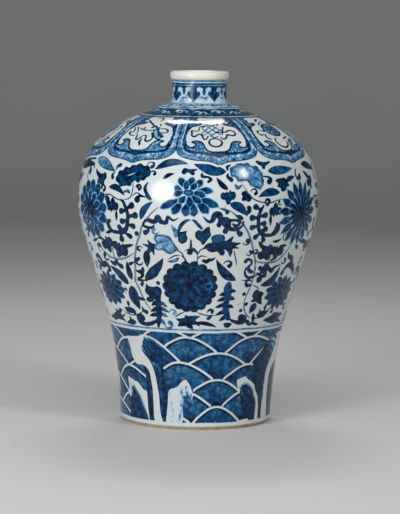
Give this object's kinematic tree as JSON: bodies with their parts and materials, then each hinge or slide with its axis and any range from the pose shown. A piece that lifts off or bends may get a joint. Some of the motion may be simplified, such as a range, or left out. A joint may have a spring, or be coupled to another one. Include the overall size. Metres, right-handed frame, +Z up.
{
  "type": "meiping vase",
  "caption": "Tall porcelain vase with a small rolled lip, short neck, broad shoulder and a body tapering to a recessed foot, painted in underglaze blue.",
  "frame": {"origin": "centre of the foot ring, on the surface that the vase stands on", "axes": "+Z up along the axis of the vase, -Y towards the viewer's side of the painting"},
  "size_m": [0.2302, 0.2302, 0.335],
  "materials": {
    "porcelain": "glossy clear glaze over underglaze cobalt painting on a white body",
    "luting_slip": "matt fired slip"
  },
  "bodies": {
    "root": {"base_and_foot": "porcelain", "lower_section": "porcelain", "belly_section": "porcelain", "shoulder_section": "porcelain", "neck_and_lip": "porcelain", "base_slip_joint": "luting_slip", "waist_slip_joint": "luting_slip", "belly_slip_joint": "luting_slip", "neck_slip_joint": "luting_slip"}
  },
  "joints": []
}
